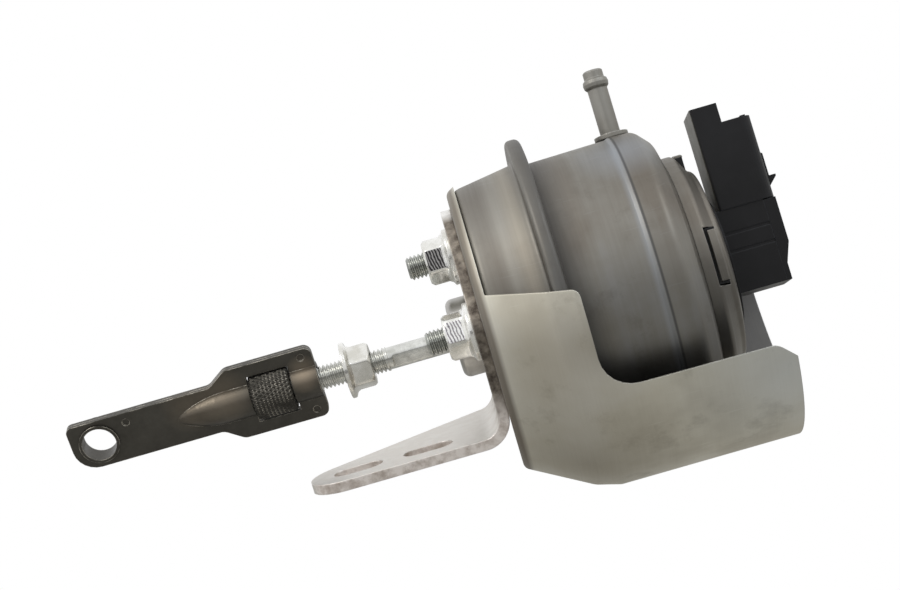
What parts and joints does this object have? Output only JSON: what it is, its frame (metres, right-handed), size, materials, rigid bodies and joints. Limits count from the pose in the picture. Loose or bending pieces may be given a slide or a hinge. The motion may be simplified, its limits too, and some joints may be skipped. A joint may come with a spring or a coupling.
{
  "type": "wastegate actuator",
  "caption": "Vacuum wastegate actuator: canister with diaphragm and return spring, slotted bracket, heat shield, threaded rod with adjustable end link, hose nipple and position sensor.",
  "frame": {"origin": "middle of the bracket's two slots, on the tongue's bolting face", "axes": "+X along the rod from the end link towards the canister, +Z out of the tongue towards the rod, +Y from the slots towards the rod axis"},
  "size_m": [0.1838, 0.09, 0.0986],
  "materials": {
    "zinc_steel": "bright zinc plated, lightly stained",
    "can_steel": "satin stainless sheet with drawing marks",
    "shield_steel": "satin stainless sheet, warm grey",
    "dark_steel": "dark phosphate and oil, satin",
    "bare_steel": "plain steel",
    "rubber": "matte black rubber",
    "black_plastic": "matte black moulded plastic",
    "natural_plastic": "natural moulded plastic",
    "terminal_tin": "tin plated brass"
  },
  "bodies": {
    "housing": {"bracket": "zinc_steel", "heat_shield": "shield_steel", "stud_top": "zinc_steel", "stud_near": "zinc_steel", "stud_far": "zinc_steel", "nut_top": "zinc_steel", "nut_near": "zinc_steel", "nut_far": "zinc_steel", "front_can": "can_steel", "rear_can": "can_steel", "rod_guide": "bare_steel", "guide_bush": "natural_plastic", "rod_seal": "rubber", "diaphragm": "rubber", "return_spring": "bare_steel", "spring_seat": "bare_steel", "nipple": "can_steel", "sensor_cap": "can_steel", "sensor_seal": "rubber", "sensor_body": "black_plastic", "sensor_cover": "black_plastic", "terminal_1": "terminal_tin", "terminal_2": "terminal_tin", "terminal_3": "terminal_tin", "plunger_spring": "bare_steel"},
    "rod_assembly": {"rod": "zinc_steel", "retainer": "bare_steel", "piston_cup": "bare_steel", "lock_nut": "zinc_steel", "sensor_plunger": "natural_plastic"},
    "end_link": {"link_near_plate": "dark_steel", "link_far_plate": "dark_steel", "eye_bush": "dark_steel"},
    "adjuster": {"adjusting_nut": "dark_steel"}
  },
  "joints": [
    {"name": "rod_stroke", "type": "slide", "parent": "housing", "child": "rod_assembly", "axis": [1, 0, 0], "range_m": [0, 0.01], "stiffness_N_per_m": 3000, "springref_m": -0.02, "deforming": ["return_spring", "diaphragm", "plunger_spring"]},
    {"name": "link_adjust", "type": "slide", "parent": "rod_assembly", "child": "end_link", "axis": [1, 0, 0], "range_m": [-0.002, 0.002]},
    {"name": "nut_turn", "type": "hinge", "parent": "end_link", "child": "adjuster", "pos_m": [-0.0248, 0.018, 0.023], "axis": [1, 0, 0], "range_deg": [-720, 720]}
  ],
  "couplings": [
    {"joint": "nut_turn", "follows": "link_adjust", "rad_per_m": 6283.2}
  ]
}
